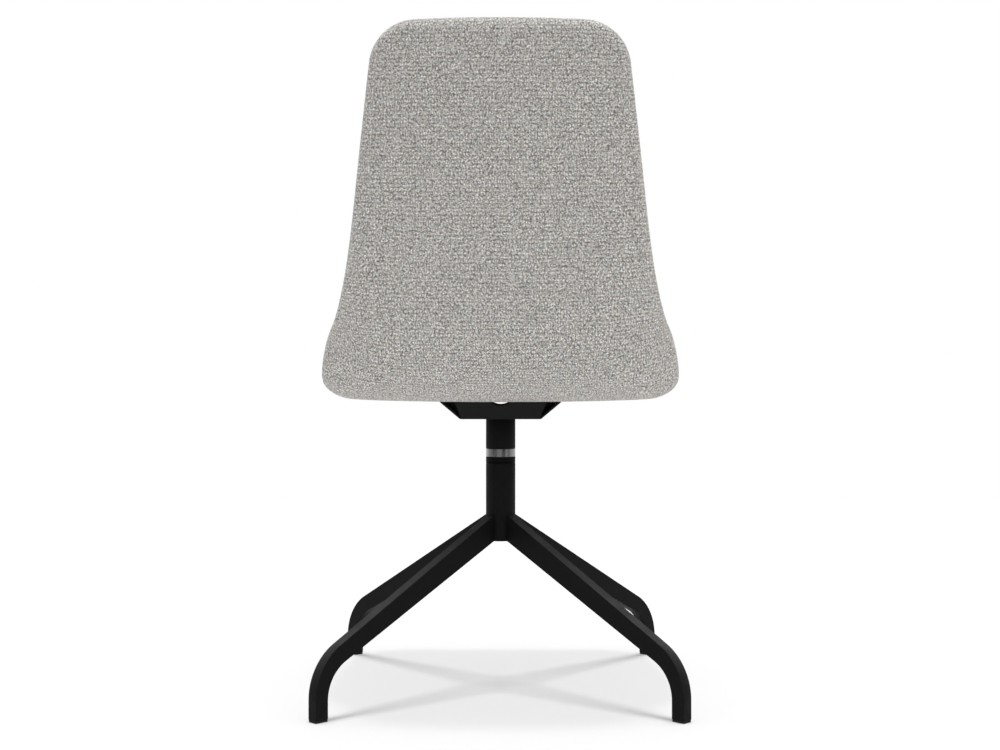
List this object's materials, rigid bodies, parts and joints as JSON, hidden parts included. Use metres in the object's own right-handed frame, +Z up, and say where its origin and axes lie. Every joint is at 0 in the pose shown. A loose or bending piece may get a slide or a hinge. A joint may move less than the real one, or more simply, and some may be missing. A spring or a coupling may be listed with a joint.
{
  "type": "swivel dining chair",
  "caption": "Swivel dining chair: upholstered moulded body of seat and back on a short round column with splayed legs; the upper part turns freely about the column.",
  "frame": {"origin": "on the floor under the column, on the swivel axis, which is also the middle of the base", "axes": "+Z up along the swivel axis, the chair faces -Y, +X is the sitter's left"},
  "size_m": [0.4726, 0.5103, 0.849],
  "materials": {
    "black_powder_coat": "matte black powder coat with a fine texture",
    "turned_steel": "turned bare steel with fine lines round the axis",
    "zinc_steel": "zinc plated steel",
    "black_screw_steel": "blackened screw steel, slightly oily",
    "black_plastic": "matte black nylon",
    "glide_plastic": "matte black polyethylene with light scuffs underneath",
    "moulded_plywood": "moulded beech plywood, unvarnished, hidden inside the upholstery",
    "upholstery_foam": "open polyurethane foam, hidden under the cover",
    "grey_weave": "warm light grey nubby basket weave with soft mottling"
  },
  "bodies": {
    "base": {"base_column": "black_powder_coat", "column_cap": "black_plastic", "leg_front_left": "black_powder_coat", "leg_front_right": "black_powder_coat", "leg_rear_left": "black_powder_coat", "leg_rear_right": "black_powder_coat", "glide_front_left": "glide_plastic", "glide_front_right": "glide_plastic", "glide_rear_left": "glide_plastic", "glide_rear_right": "glide_plastic", "lower_bush": "black_plastic", "upper_bush": "black_plastic", "retaining_washer": "zinc_steel"},
    "seat": {"retaining_clip": "zinc_steel", "spindle": "turned_steel", "bearing_collar": "turned_steel", "seat_tube": "black_powder_coat", "seat_bracket": "black_powder_coat", "bracket_screws": "black_screw_steel", "screw_spacers": "black_plastic", "threaded_inserts": "zinc_steel", "shell_core": "moulded_plywood", "rear_foam": "upholstery_foam", "front_foam": "upholstery_foam", "rear_cover": "grey_weave", "front_cover": "grey_weave"}
  },
  "joints": [
    {"name": "seat_swivel", "type": "hinge", "parent": "base", "child": "seat", "pos_m": [0, 0, 0.31], "axis": [0, 0, 1], "continuous": true}
  ]
}
